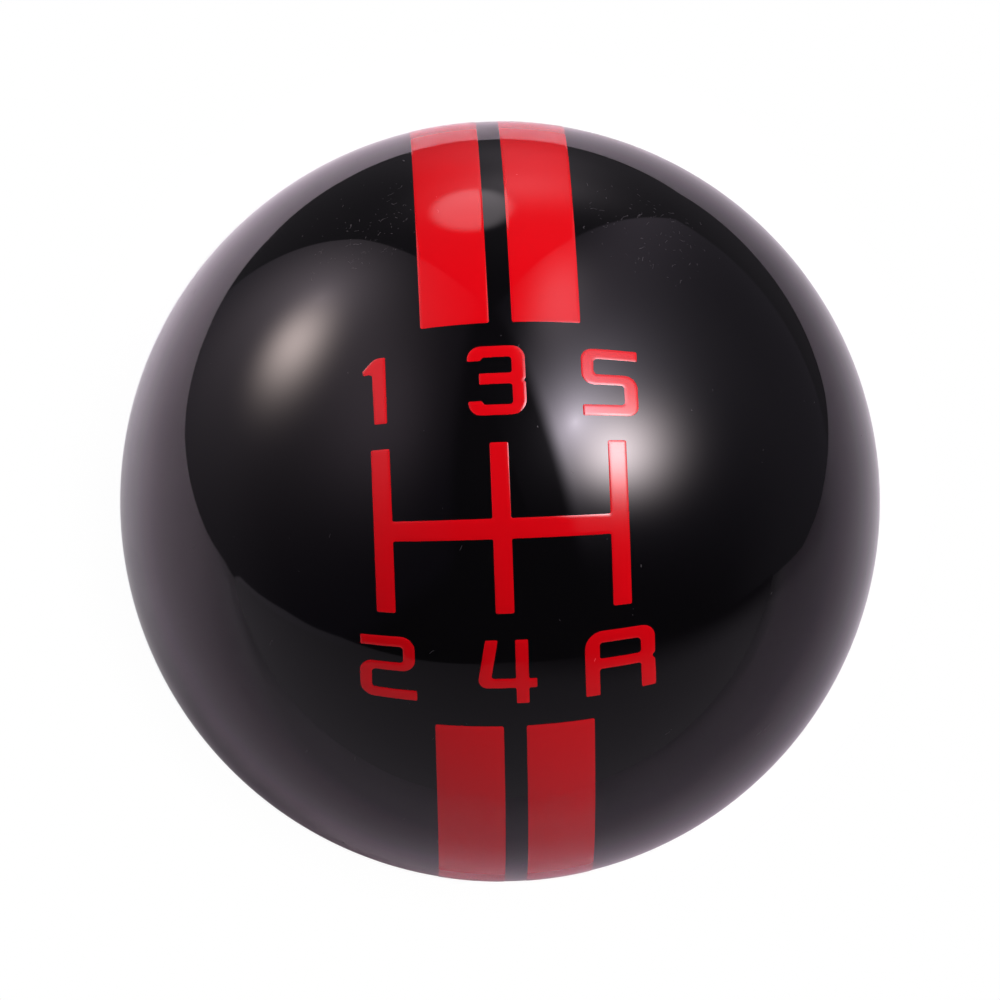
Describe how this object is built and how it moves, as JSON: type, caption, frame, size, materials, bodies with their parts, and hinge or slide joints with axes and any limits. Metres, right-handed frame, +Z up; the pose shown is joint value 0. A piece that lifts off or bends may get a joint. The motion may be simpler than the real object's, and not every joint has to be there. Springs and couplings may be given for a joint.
{
  "type": "gear shift knob",
  "caption": "Round gloss black gear shift knob with raised red racing stripes and a shift gate print, a flat base, a moulded-in threaded insert and a screw-in lever adapter.",
  "frame": {"origin": "middle of the flat base, on the axis of the lever's thread", "axes": "+Z up through the crown, +Y towards the front of the car (the side of gears 1, 3 and 5), +X to the right as the driver reads the gate"},
  "size_m": [0.054, 0.0542, 0.0508],
  "materials": {
    "ball_black": "gloss lacquer",
    "print_red": "gloss lacquer",
    "insert_metal": "turned",
    "adapter_nylon": "satin"
  },
  "bodies": {
    "root": {"ball": "ball_black", "threaded_insert": "insert_metal", "thread_adapter": "adapter_nylon", "stripe_front_left": "print_red", "stripe_front_right": "print_red", "stripe_rear_left": "print_red", "stripe_rear_right": "print_red", "gate_diagram": "print_red"}
  },
  "joints": []
}
